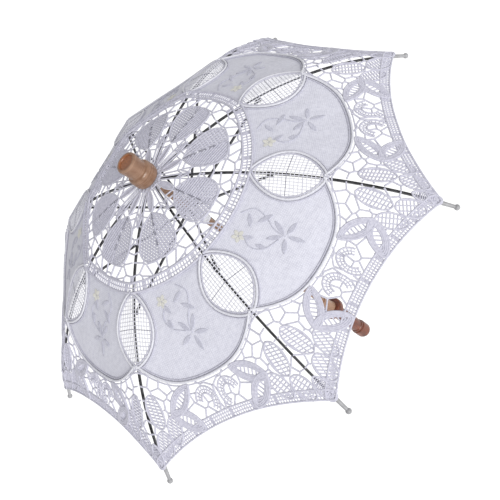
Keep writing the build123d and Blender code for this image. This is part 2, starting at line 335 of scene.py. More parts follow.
@dataclass(frozen=True)
class Edging:
    """A white piping between two fine cords: how far each lies beside the edge, its radius and its lift."""

    piping: Triple
    outer: Triple
    inner: Triple


WORKINGS = {
    Fill.BARS: (Rows(math.pi / 2.4, 0.0026, 0.00078), Rows(0.0, 0.0046, 0.00070, 0.0003)),
    Fill.NET: (Rows(math.pi / 2, 0.0034, 0.00105), Rows(0.0, 0.0034, 0.00105, 0.0003)),
    Fill.SATIN: (Rows(math.pi / 2, 0.0013, 0.00075, 0.0002),),
    Fill.STRIPES: (Rows(math.pi / 3, 0.0027, 0.00105), Rows(0.0, 0.0034, 0.00062, 0.0003)),
}
POD_BORDERS = ((1.0, 0.0013), (0.82, 0.0012), (0.64, 0.0012), (0.46, 0.0010))
POD_THREADS = Rows(math.pi / 2, 0.0036, 0.00075)
RING_TAPE = Tape(0.0013, 0.00070, 0.0036)
HEM_TAPE = Tape(0.00105, 0.00064, 0.0027, 2)
HORSESHOE_TAPE = Tape(0.00095, 0.00060, 0.0026)
SCALLOP_EDGING = Edging((0.0009, 0.00130, 0.0002), (0.0031, 0.00060, 0.0002), (-0.0018, 0.00075, 0.0002))
WINDOW_EDGING = Edging((0.0015, 0.00125, 0.0002), (0.0037, 0.00060, 0.0001), (-0.0008, 0.00085, 0.0002))


@dataclass
class Strand:
    """One thread or cord, in plan."""

    line: Line
    radius: float
    lift: float


@dataclass
class Pattern:
    """A set of threads in plan, and the outlines that the open network keeps out of."""

    strands: list[Strand] = field(default_factory=list)
    outlines: list[Line] = field(default_factory=list)

    def cord(self, line: Line, radius: float, lift: float = 0.0, pitch: float = 0.0028) -> None:
        """Adds one thread along a line."""
        self.strands.append(Strand(resample(line, pitch), radius, lift))

    def tape(self, line: Line, width: float, made: Tape) -> None:
        """Adds a ladder tape: two edge cords, a few warps and rungs, now and then two close together.

        Args:
            line: Middle line of the tape.
            width: Width of the tape.
            made: How it is made.
        """
        middle = resample(line, made.pitch / 2)
        left, right = beside(middle, width / 2), beside(middle, -width / 2)
        for side in (left, right):
            self.cord(side, made.edge, made.edge * 0.4, 0.0022)
        for i in range(made.warps):
            self.cord(beside(middle, width * ((i + 1) / (made.warps + 1) - 0.5)), made.thread, 0.0, 0.0026)
        for i in range(1, len(middle) - 1):
            if i % 2 == 0 or i % 9 == 0:
                self.strands.append(Strand([left[i], right[i]], made.thread, made.thread * 0.5))
        self.outlines.append(left + right[::-1])

    def pod(self, start: Plan, end: Plan, width: float) -> None:
        """Adds a pod: a thick satin border round a middle with a few threads across.

        Args:
            start: One tip.
            end: Other tip.
            width: Width at the middle.
        """
        centre = ((start[0] + end[0]) / 2, (start[1] + end[1]) / 2)
        angle = math.atan2(end[1] - start[1], end[0] - start[0])
        length = distance(start, end)
        blunt = 0.7
        for share, radius in POD_BORDERS:
            border = petal_outline(centre, angle, length * (0.4 + 0.6 * share), width * share, blunt)
            self.cord(border, radius, 0.0003)
        inner = petal_outline(centre, angle, length * 0.62, width * 0.42, blunt)
        self.hatch(inner, angle, POD_THREADS)
        self.outlines.append(petal_outline(centre, angle, length, width, blunt)[:-1])

    def horseshoe(self, centre: Plan, radius: float, opening: float, width: float) -> None:
        """Adds a horseshoe of ladder tape.

        Args:
            centre: Its middle.
            radius: Radius of its middle line.
            opening: Direction of its open side.
            width: Width of the tape.
        """
        sweep, stretch, steps = math.radians(115), 1.05, 12
        angles = [opening + math.pi + sweep * i / steps for i in range(-steps, steps + 1)]
        line = [(centre[0] + radius * stretch * math.cos(a), centre[1] + radius * math.sin(a)) for a in angles]
        self.tape(line, width, HORSESHOE_TAPE)

    def leaf(self, centre: Plan, angle: float, length: float, width: float, fill: Fill, blunt: float = 0.6) -> None:
        """Adds a petal or leaf with a corded outline and a worked middle; a small power makes it round."""
        self.worked(petal_outline(centre, angle, length, width, blunt), angle, fill)

    def worked(self, outline: Line, angle: float, fill: Fill, cord: float = 0.00095) -> None:
        """Adds a corded outline and the threads inside it.

        Args:
            outline: Closed outline, its first point repeated at the end.
            angle: Direction of the shape's length.
            fill: How it is worked.
            cord: Radius of the outline's cord.
        """
        self.outlines.append(outline[:-1])
        self.cord(outline, cord, cord * 0.6, 0.0024)
        for rows in WORKINGS[fill]:
            self.hatch(outline, angle, rows)

    def hatch(self, outline: Line, angle: float, rows: Rows) -> None:
        """Fills an outline with parallel threads.

        Args:
            outline: Closed outline, its first point repeated at the end.
            angle: Direction of the outline's length.
            rows: The threads.
        """
        along = angle + rows.lean
        level = [turn(p, -along) for p in outline]
        low, high = min(p[1] for p in level), max(p[1] for p in level)
        count = int((high - low) / rows.pitch)
        for i in range(count + 1):
            y = low + (high - low - count * rows.pitch) / 2 + i * rows.pitch
            hits = sorted(
                a[0] + (b[0] - a[0]) * (y - a[1]) / (b[1] - a[1])
                for a, b in zip(level, level[1:])
                if (a[1] > y) != (b[1] > y)
            )
            for start, end in zip(hits[::2], hits[1::2]):
                if end - start > 2 * rows.radius:
                    self.cord([turn((start, y), along), turn((end, y), along)], rows.radius, rows.lift, 0.006)


def lay_edging(line: Line, way: int, edging: Edging, white: Pattern, lace: Pattern) -> None:
    """Lays a white piping and its two lace cords along an edge, to the left of it for a way of 1."""
    for pattern, (gap, radius, lift) in ((white, edging.piping), (lace, edging.outer), (lace, edging.inner)):
        pattern.cord(beside(line, way * gap), radius, lift)


@dataclass
class Motifs:
    """Where everything in the lace lies, as shares of the tip radius."""

    size: float
    window_foot: float = 0.431
    window_head: float = 0.666
    window_half_width: float = 0.086
    network_start: float = 0.155
    ring_width: float = 0.033
    hem_width: float = 0.025
    hem_inset: float = 0.013
    net_pitch: float = 0.0128
    spoke_radius: float = 0.00085
    crown: Rim = field(init=False)
    ring_inner: Rim = field(init=False)
    ring_outer: Rim = field(init=False)
    scallop: Rim = field(init=False)
    hem: Rim = field(init=False)

    def __post_init__(self) -> None:
        """Works out the rings from their shares."""
        size = self.size
        self.crown = even_rim(0.057, 0.057, size)
        self.ring_inner = even_rim(0.384, 0.396, size)
        self.ring_outer = even_rim(0.420, self.window_foot, size)
        self.scallop = rim_through(
            [(0.724, 0.0), (0.722, 0.05), (0.713, 0.11), (0.692, 0.165), (0.657, 0.215), (0.6153, 0.2549)], size
        )
        hem_side = 0.967 * math.sin(HALF_ANGLE)
        hem = [(0.842 + 0.0514 * (i / 6) ** 2, hem_side * i / 6) for i in range(7)]
        self.hem = rim_through(hem, size)

    def window(self, share: float) -> Plan:
        """Finds a point on the edge of the net window beside a rib, from 0 at its foot to 1 at its head."""
        reach = self.window_foot + (self.window_head - self.window_foot) * share
        return (reach * self.size, self.window_half_width * self.size * math.sin(math.pi * share) ** 0.72)

    def scaled(self, points: Line) -> Line:
        """Turns shares into metres."""
        return [(x * self.size, y * self.size) for x, y in points]


@dataclass
class PanelLace:
    """The lace and embroidery of one panel, in its plan with the middle along +X.

    The number picks which half of the inner petal is striped. The threads of each colour have a pattern.
    """

    motifs: Motifs
    number: int
    pattern: Pattern = field(default_factory=Pattern)
    silk: Pattern = field(default_factory=Pattern)
    yellow: Pattern = field(default_factory=Pattern)
    white: Pattern = field(default_factory=Pattern)
    petal_cord: float = 0.0010
    brace_radius: float = 0.00075
    stem_radius: float = 0.00042
    stitch_edge: float = 0.00034
    stitches: Rows = Rows(math.pi / 3, 0.00062, 0.00042, 0.0001)

    def build(self) -> None:
        """Works the whole panel."""
        self.rings()
        self.inner_petal()
        self.outer_band()
        self.embroidery()

    def rings(self) -> None:
        """The ring tape, the scalloped piping and the hem tape."""
        m, p = self.motifs, self.pattern
        edges = zip(m.ring_inner.line(), m.ring_outer.line())
        middle = [((a[0] + b[0]) / 2, (a[1] + b[1]) / 2) for a, b in edges]
        p.tape(middle, m.ring_width * m.size, RING_TAPE)
        lay_edging(m.scallop.line(), 1, SCALLOP_EDGING, self.white, p)
        p.tape(beside(m.hem.line(), m.hem_inset * m.size), m.hem_width * m.size, HEM_TAPE)

    def inner_petal(self) -> None:
        """The petal inside the ring, one half striped and one netted, with a satin leaf and cords to the crown."""
        m, p = self.motifs, self.pattern
        side = [(0.158, 0.0), (0.192, 0.047), (0.240, 0.074), (0.290, 0.082), (0.322, 0.066), (0.336, 0.034)]
        half = smooth(m.scaled(side + [(0.337, 0.0)]), 4)
        striped_side = -1 if self.number % 2 else 1
        for way, fill in ((striped_side, Fill.STRIPES), (-striped_side, Fill.NET)):
            p.worked([(x, way * y) for x, y in half] + half[:1], 0.35 * way, fill, self.petal_cord)
        p.leaf((0.108 * m.size, 0.0), 0.0, 0.092 * m.size, 0.024 * m.size, Fill.SATIN)
        for way in (-1, 1):
            p.cord(m.scaled([(0.058, way * 0.012), (0.120, way * 0.034), (0.215, way * 0.060)]), m.spoke_radius)
            p.cord(m.scaled([(0.152, 0.0), (0.130, way * 0.036), (0.150, way * 0.062)]), self.brace_radius)

    def outer_band(self) -> None:
        """The pods and the horseshoes between the scalloped piping and the hem."""
        p, size = self.pattern, self.motifs.size
        for way in (-1, 1):
            p.pod((0.722 * size, way * 0.090 * size), (0.784 * size, way * 0.206 * size), 0.050 * size)
            p.pod((0.772 * size, way * 0.204 * size), (0.842 * size, way * 0.108 * size), 0.052 * size)
            p.horseshoe((0.782 * size, way * 0.048 * size), 0.031 * size, way * math.radians(35), 0.020 * size)

    def embroidery(self) -> None:
        """The flower, its four leaves and two scrolls, and the small pale yellow flower on the cloth."""
        m, p = self.motifs, self.silk
        heart, yellow_heart = (0.598, 0.016), (0.470, -0.055)
        self.blossom(p, heart, 0.034, [math.radians(degrees) for degrees in (14, 80, 148, 218, 290)], 0.048, 0.0125)
        leaves = ((0.520, 0.040, 55, 0.055), (0.478, 0.012, 120, 0.045), (0.500, -0.045, 30, 0.036),
                  (0.548, -0.052, 190, 0.034))
        for x, y, degrees, length in leaves:
            self.satin(p, (x, y), math.radians(degrees), length, 0.012)
        scroll = [(0.440, 0.02), (0.475, 0.055), (0.520, 0.045), (0.560, 0.020), heart]
        branch = [(0.585, -0.004), (0.560, -0.055), (0.520, -0.070), (0.490, -0.050)]
        for line in (scroll, branch):
            p.cord(smooth(m.scaled(line), 6), self.stem_radius, self.stitches.lift)
        self.blossom(self.yellow, yellow_heart, 0.013, [math.tau * i / 5 for i in range(5)], 0.020, 0.013)

    def blossom(
        self, pattern: Pattern, heart: Plan, reach: float, angles: list[float], length: float, width: float
    ) -> None:
        """Sets satin petals round a middle.

        Args:
            pattern: Pattern that they go into.
            heart: Middle of the flower, in shares of the tip radius.
            reach: From the middle to each petal's own middle, as a share.
            angles: Direction of each petal.
            length: Length of a petal, as a share.
            width: Width of a petal, as a share.
        """
        for a in angles:
            centre = (heart[0] + reach * math.cos(a), heart[1] + reach * math.sin(a))
            self.satin(pattern, centre, a, length, width)

    def satin(self, pattern: Pattern, centre: Plan, angle: float, length: float, width: float) -> None:
        """Adds one raised satin-stitch petal on the cloth.

        Args:
            pattern: Pattern that it goes into.
            centre: Its middle, in shares of the tip radius.
            angle: Direction of its length.
            length: Length, as a share.
            width: Width, as a share.
        """
        size = self.motifs.size
        outline = petal_outline((centre[0] * size, centre[1] * size), angle, length * size, width * size, 0.8)
        pattern.cord(outline, self.stitch_edge, self.stitches.lift)
        pattern.hatch(outline, angle, self.stitches)


@dataclass
class RibLace:
    """The lace that is centred on a rib, in plan with the rib along +X."""

    motifs: Motifs
    pattern: Pattern = field(default_factory=Pattern)
    white: Pattern = field(default_factory=Pattern)
    net_radius: float = 0.00050
    rung_radius: float = 0.00045
    rung_lift: float = 0.0002
    lace_rung_every: float = 4.04
    pleats: int = 5
    crown_cord: float = 0.0008

    def build(self) -> None:
        """Works the net window, the flower and the gathered crown."""
        self.net_window()
        self.flower()
        self.gathers()

    def net_window(self) -> None:
        """The almond-shaped net, and on each edge a white piping between two fine cords."""
        m, p = self.motifs, self.pattern
        steps = 28
        edge = [m.window(i / steps) for i in range(steps + 1)]
        outline = edge + [(x, -y) for x, y in edge[::-1][1:]]
        pitch = m.net_pitch * m.size
        width = 2 * m.window_half_width * m.size
        across = width / (2 * round(width / pitch / 2) + 1)
        rungs = Rows(math.pi / 2, pitch, self.rung_radius, self.rung_lift)
        self.white.hatch(outline, 0.0, Rows(0.0, across, self.net_radius))
        self.white.hatch(outline, 0.0, rungs)
        p.hatch(outline, 0.0, replace(rungs, pitch=pitch * self.lace_rung_every))
        for way in (-1, 1):
            lay_edging([(x, way * y) for x, y in edge], way, WINDOW_EDGING, self.white, p)

    def flower(self) -> None:
        """The filled petals round the rib near the hem."""
        p, size, blunt = self.pattern, self.motifs.size, 0.5
        petals = (
            (0.798, 0.044, 0.102, 0.060, 12),
            (0.891, 0.048, 0.082, 0.057, -16),
            (0.842, 0.102, 0.088, 0.050, -10),
        )
        for reach, aside, length, width, lean in petals:
            for way in (-1, 1):
                centre = (reach * size, way * aside * size)
                p.leaf(centre, way * math.radians(lean), length * size, width * size, Fill.BARS, blunt)
        p.leaf((0.932 * size, 0.0), 0.0, 0.074 * size, 0.040 * size, Fill.SATIN, blunt)

    def gathers(self) -> None:
        """The gathered cloth round the ferrule, as close radial pleats inside a cord."""
        m, p = self.motifs, self.pattern
        inner, outer = 0.034 * m.size, m.crown.radius(0.0)
        for i in range(self.pleats):
            a = HALF_ANGLE * (2 * (i + 0.5) / self.pleats - 1)
            radius, lift = (0.00125, 0.0003) if i % 2 else (0.00095, 0.0001)
            p.cord([turn((inner, 0.0), a), turn((outer, 0.0), a)], radius, lift)
        steps = 12
        ring = [turn((outer, 0.0), HALF_ANGLE * (2 * i / steps - 1)) for i in range(steps + 1)]
        p.cord(ring, self.crown_cord, self.crown_cord / 2)
        p.cord([(outer, 0.0), (0.200 * m.size, 0.0)], m.spoke_radius)


@dataclass
class OpenNetwork:
    """The irregular network of bars between the worked shapes, made from the borders between scattered cells."""

    motifs: Motifs
    pitch: float = 0.0143
    row_step: float = 0.866
    radial_share: float = 0.80
    half_width: float = 0.46
    jitter: float = 0.30
    longest_bar: float = 0.03
    bar_radius: float = 0.00092
    bar_lift: float = 0.0001
    ring_overlap: float = 0.001
    hem_margin: float = 0.006
    seed: int = 7

    def cells(self) -> list[tuple[Plan, Plan]]:
        """Scatters the cells over half a panel and finds the borders between them.

        Returns:
            Straight bars in plan, with the rib along +X.
        """
        rng = random.Random(self.seed)
        reach = self.motifs.size
        rows = int(reach / (self.pitch * self.radial_share * self.row_step)) + 2
        seeds = []
        for row in range(rows):
            for column in range(-3, int(reach * self.half_width / self.pitch) + 4):
                x = row * self.pitch * self.row_step + rng.uniform(-1, 1) * self.jitter * self.pitch
                y = (column + 0.5 * (row % 2)) * self.pitch + rng.uniform(-1, 1) * self.jitter * self.pitch
                seeds.append(Vector((x, y)))
        corners, _, faces, *_ = geometry.delaunay_2d_cdt(seeds, [], [], 0, 1e-7)
        centres, owners = [], {}
        for index, face in enumerate(faces):
            a, b, c = (corners[i] for i in face)
            centres.append(self.centre(a, b, c))
            for i in range(3):
                owners.setdefault(frozenset((face[i], face[(i + 1) % 3])), []).append(index)
        bars = []
        for pair in owners.values():
            if len(pair) == 2:
                p, q = centres[pair[0]], centres[pair[1]]
                bars.append(((p[0] * self.radial_share, p[1]), (q[0] * self.radial_share, q[1])))
        return bars

    @staticmethod
    def centre(a: Vector, b: Vector, c: Vector) -> Plan:
        """Finds the centre of the circle through three points.

        Args:
            a: First point.
            b: Second point.
            c: Third point.

        Returns:
            The centre, or the first point where the three lie on one line.
        """
        d = 2 * (a.x * (b.y - c.y) + b.x * (c.y - a.y) + c.x * (a.y - b.y))
        if abs(d) < 1e-12:
            return (a.x, a.y)
        aa, bb, cc = a.length_squared, b.length_squared, c.length_squared
        return (
            (aa * (b.y - c.y) + bb * (c.y - a.y) + cc * (a.y - b.y)) / d,
            (aa * (c.x - b.x) + bb * (a.x - c.x) + cc * (b.x - a.x)) / d,
        )

    def open_at(self, point: Plan, outlines: list[Line]) -> bool:
        """Tells whether the network shows at a plan point.

        Args:
            point: Plan point with the rib along +X.
            outlines: Shapes that the network keeps out of.

        Returns:
            True between the crown and the ring, or between the scallops and the hem, outside every shape.
        """
        m = self.motifs
        radius = math.hypot(*point)
        angle = math.atan2(point[1], point[0])
        slack = 1e-4
        if angle < -slack or angle > HALF_ANGLE + slack:
            return False
        off = HALF_ANGLE - angle
        inner = m.network_start * m.size < radius < m.ring_inner.radius(off) + self.ring_overlap
        outer = m.scallop.radius(off) < radius < m.hem.radius(off) - self.hem_margin
        return (inner or outer) and not any(holds(o, point) for o in outlines)

    def build(self, outlines: list[Line]) -> Pattern:
        """Makes the network for both sides of a rib.

        Args:
            outlines: Shapes that the network keeps out of.

        Returns:
            The network's threads.
        """
        pattern = Pattern()
        steps = 6
        for a, b in self.cells():
            if distance(a, b) > self.longest_bar:
                continue
            spots = [(a[0] + (b[0] - a[0]) * i / steps, a[1] + (b[1] - a[1]) * i / steps) for i in range(steps + 1)]
            for shows, group in itertools.groupby(spots, lambda spot: self.open_at(spot, outlines)):
                run = list(group)
                if not shows or len(run) < 2:
                    continue
                for way in (-1, 1):
                    bar = [(x, way * y) for x, y in (run[0], run[-1])]
                    pattern.strands.append(Strand(bar, self.bar_radius, self.bar_lift))
        return pattern


@dataclass(frozen=True)
class NodeBuilder:
    """Adds and joins shader nodes in one material."""

    tree: bpy.types.NodeTree

    def add(self, kind: str, **values: object) -> bpy.types.Node:
        """Adds a node.

        Args:
            kind: Type of the node.
            **values: Its plain attributes.

        Returns:
            The node.
        """
        made = self.tree.nodes.new(kind)
        for name, value in values.items():
            setattr(made, name, value)
        return made

    def join(self, source: bpy.types.NodeSocket, target: bpy.types.NodeSocket) -> None:
        """Joins two sockets."""
        self.tree.links.new(source, target)

    def coordinates(self, scale: Triple = (1.0, 1.0, 1.0)) -> bpy.types.NodeSocket:
        """Reads Object coordinates.

        Args:
            scale: Factor on each axis.

        Returns:
            The scaled coordinates.
        """
        where = self.add("ShaderNodeTexCoord")
        mapping = self.add("ShaderNodeMapping")
        mapping.inputs["Scale"].default_value = scale
        self.join(where.outputs["Object"], mapping.inputs["Vector"])
        return mapping.outputs["Vector"]

    def noise(self, vector: bpy.types.NodeSocket, scale: float, detail: float = 3.0) -> bpy.types.NodeSocket:
        """Adds a noise.

        Args:
            vector: Where it is read.
            scale: Its scale.
            detail: Its detail.

        Returns:
            Its value.
        """
        made = self.add("ShaderNodeTexNoise")
        made.inputs["Scale"].default_value = scale
        made.inputs["Detail"].default_value = detail
        self.join(vector, made.inputs["Vector"])
        return made.outputs["Fac"]

    def ramp(self, value: bpy.types.NodeSocket, stops: list[tuple[float, Triple]]) -> bpy.types.NodeSocket:
        """Adds a colour ramp.

        Args:
            value: Value that picks the colour.
            stops: Place and colour of each stop.

        Returns:
            The colour.
        """
        made = self.add("ShaderNodeValToRGB")
        elements = made.color_ramp.elements
        while len(elements) < len(stops):
            elements.new(0.5)
        for element, (place, colour) in zip(elements, stops):
            element.position = place
            element.color = (*colour, 1.0)
        self.join(value, made.inputs["Fac"])
        return made.outputs["Color"]

    def bump(self, height: bpy.types.NodeSocket, strength: float, depth: float) -> bpy.types.NodeSocket:
        """Adds a bump.

        Args:
            height: Height that it follows.
            strength: Its strength.
            depth: Its distance.

        Returns:
            The normal.
        """
        made = self.add("ShaderNodeBump")
        made.inputs["Strength"].default_value = strength
        made.inputs["Distance"].default_value = depth
        self.join(height, made.inputs["Height"])
        return made.outputs["Normal"]

    def reckon(self, operation: str, *values: bpy.types.NodeSocket | float) -> bpy.types.NodeSocket:
        """Adds a Math node.

        Args:
            operation: What it does.
            *values: Its inputs, each a socket or a number.

        Returns:
            Its value.
        """
        made = self.add("ShaderNodeMath", operation=operation)
        for value, target in zip(values, made.inputs):
            if isinstance(value, bpy.types.NodeSocket):
                self.join(value, target)
            else:
                target.default_value = value
        return made.outputs[0]


def new_material(name: str) -> tuple[bpy.types.Material, NodeBuilder, bpy.types.Node]:
    """Starts a material.

    Args:
        name: Its name.

    Returns:
        The material, its node builder and its shader.
    """
    material = bpy.data.materials.new(name)
    material.use_nodes = True
    return material, NodeBuilder(material.node_tree), material.node_tree.nodes["Principled BSDF"]


@dataclass(frozen=True)
class CottonThread:
    """Twisted, slightly fuzzy cotton thread."""

    light: Triple = (0.60, 0.595, 0.675)
    dark: Triple = (0.46, 0.455, 0.54)

    def build(self, name: str) -> bpy.types.Material:
        """Makes the material.

        Args:
            name: Its name.

        Returns:
            The material.
        """
        material, nodes, shader = new_material(name)
        where = nodes.coordinates()
        slub = nodes.noise(where, 420.0)
        nodes.join(nodes.ramp(slub, [(0.3, self.dark), (0.7, self.light)]), shader.inputs["Base Color"])
        nodes.join(nodes.bump(nodes.noise(where, 2600.0, 2.0), 0.5, 0.0003), shader.inputs["Normal"])
        shader.inputs["Roughness"].default_value = 0.88
        shader.inputs["Sheen Weight"].default_value = 0.25
        shader.inputs["Specular IOR Level"].default_value = 0.2
        return material


@dataclass(frozen=True)
class WovenCotton:
    """Plain-woven cotton with fine warp and weft, faint slubs and shallow creases."""

    light: Triple = (0.68, 0.68, 0.755)
    dark: Triple = (0.565, 0.565, 0.645)
    threads_per_metre: float = 950.0
    weave_share: float = 0.55
    crease_height: float = 9.0

    def build(self, name: str) -> bpy.types.Material:
        """Makes the material.

        Args:
            name: Its name.

        Returns:
            The material.
        """
        material, nodes, shader = new_material(name)
        where = nodes.add("ShaderNodeUVMap", uv_map="weave")
        weft = self.band(nodes, where.outputs["UV"], "X")
        warp = self.band(nodes, where.outputs["UV"], "Y")
        slub = nodes.noise(nodes.coordinates(), 260.0, 5.0)
        crease = nodes.noise(nodes.coordinates(), 34.0, 3.0)
        weave = nodes.reckon("MULTIPLY_ADD", nodes.reckon("MULTIPLY", weft, warp), self.weave_share, slub)
        height = nodes.reckon("MULTIPLY_ADD", crease, self.crease_height, weave)
        nodes.join(nodes.ramp(weave, [(0.35, self.dark), (0.8, self.light)]), shader.inputs["Base Color"])
        nodes.join(nodes.bump(height, 0.7, 0.0004), shader.inputs["Normal"])
        shader.inputs["Roughness"].default_value = 0.9
        shader.inputs["Sheen Weight"].default_value = 0.2
        shader.inputs["Specular IOR Level"].default_value = 0.15
        return material

    def band(self, nodes: NodeBuilder, vector: bpy.types.NodeSocket, way: str) -> bpy.types.NodeSocket:
        """Adds one set of parallel threads across the cloth.

        Args:
            nodes: Node builder of the material.
            vector: The cloth's own coordinates.
            way: Axis that the threads lie across.

        Returns:
            The threads' height.
        """
        made = nodes.add("ShaderNodeTexWave", bands_direction=way)
        made.inputs["Scale"].default_value = self.threads_per_metre / 6.28
        made.inputs["Distortion"].default_value = 3.5
        nodes.join(vector, made.inputs["Vector"])
        return made.outputs["Fac"]


@dataclass(frozen=True)
class TurnedWood:
    """Turned and varnished wood, grain along the shaft, with end grain above a level and inside a radius."""

    pale: Triple
    deep: Triple
    end: Triple
    end_level: float = 9.0
    end_radius: float = 0.0093
    turning_share: float = 0.45
    roughness: float = 0.38
    coat: float = 0.25

    def build(self, name: str) -> bpy.types.Material:
        """Makes the material.

        Args:
            name: Its name.

        Returns:
            The material.
        """
        material, nodes, shader = new_material(name)
        figure = nodes.noise(nodes.coordinates((0.35, 0.35, 0.10)), 520.0, 3.0)
        turning = nodes.noise(nodes.coordinates((0.02, 0.02, 1.0)), 900.0, 4.0)
        figure_share = nodes.reckon("MULTIPLY", figure, 1.0 - self.turning_share)
        grain = nodes.reckon("MULTIPLY_ADD", turning, self.turning_share, figure_share)
        side = nodes.ramp(grain, [(0.38, self.deep), (0.60, self.pale)])
        fibres = nodes.noise(nodes.coordinates((1.0, 0.5, 1.0)), 700.0, 4.0)
        pores = tuple(0.6 * e for e in self.end)
        top = nodes.ramp(fibres, [(0.3, pores), (0.65, self.end)])
        where = nodes.add("ShaderNodeTexCoord")
        parts = nodes.add("ShaderNodeSeparateXYZ")
        nodes.join(where.outputs["Object"], parts.inputs["Vector"])
        high = nodes.reckon("GREATER_THAN", parts.outputs["Z"], self.end_level)
        flat = nodes.add("ShaderNodeVectorMath", operation="MULTIPLY")
        flat.inputs[1].default_value = (1.0, 1.0, 0.0)
        nodes.join(where.outputs["Object"], flat.inputs[0])
        reach = nodes.add("ShaderNodeVectorMath", operation="LENGTH")
        nodes.join(flat.outputs["Vector"], reach.inputs[0])
        inside = nodes.reckon("LESS_THAN", reach.outputs["Value"], self.end_radius)
        mix = nodes.add("ShaderNodeMix", data_type="RGBA")
        nodes.join(nodes.reckon("MULTIPLY", high, inside), mix.inputs["Factor"])
        nodes.join(side, mix.inputs["A"])
        nodes.join(top, mix.inputs["B"])
        nodes.join(mix.outputs["Result"], shader.inputs["Base Color"])
        nodes.join(nodes.bump(grain, 0.25, 0.0003), shader.inputs["Normal"])
        shader.inputs["Roughness"].default_value = self.roughness
        shader.inputs["Coat Weight"].default_value = self.coat
        return material


@dataclass(frozen=True)
class DrawnSteel:
    """Plated steel, drawn along its length."""

    pale: Triple = (0.11, 0.11, 0.115)
    deep: Triple = (0.04, 0.04, 0.043)

    def build(self, name: str) -> bpy.types.Material:
        """Makes the material.

        Args:
            name: Its name.

        Returns:
            The material.
        """
        material, nodes, shader = new_material(name)
        wear = nodes.noise(nodes.coordinates(), 180.0, 6.0)
        nodes.join(nodes.ramp(wear, [(0.35, self.deep), (0.65, self.pale)]), shader.inputs["Base Color"])
        nodes.join(nodes.bump(wear, 0.1, 0.0002), shader.inputs["Normal"])
        shader.inputs["Metallic"].default_value = 1.0
        shader.inputs["Roughness"].default_value = 0.34
        return material


@dataclass(frozen=True)
class MouldedPlastic:
    """Moulded plastic with a faint cloudiness, white unless told otherwise."""

    pale: Triple = (0.80, 0.80, 0.82)
    deep: Triple = (0.70, 0.70, 0.73)

    def build(self, name: str) -> bpy.types.Material:
        """Makes the material.

        Args:
            name: Its name.

        Returns:
            The material.
        """
        material, nodes, shader = new_material(name)
        cloud = nodes.noise(nodes.coordinates(), 240.0, 4.0)
        nodes.join(nodes.ramp(cloud, [(0.3, self.deep), (0.7, self.pale)]), shader.inputs["Base Color"])
        nodes.join(nodes.bump(cloud, 0.15, 0.0002), shader.inputs["Normal"])
        shader.inputs["Roughness"].default_value = 0.36
        return material


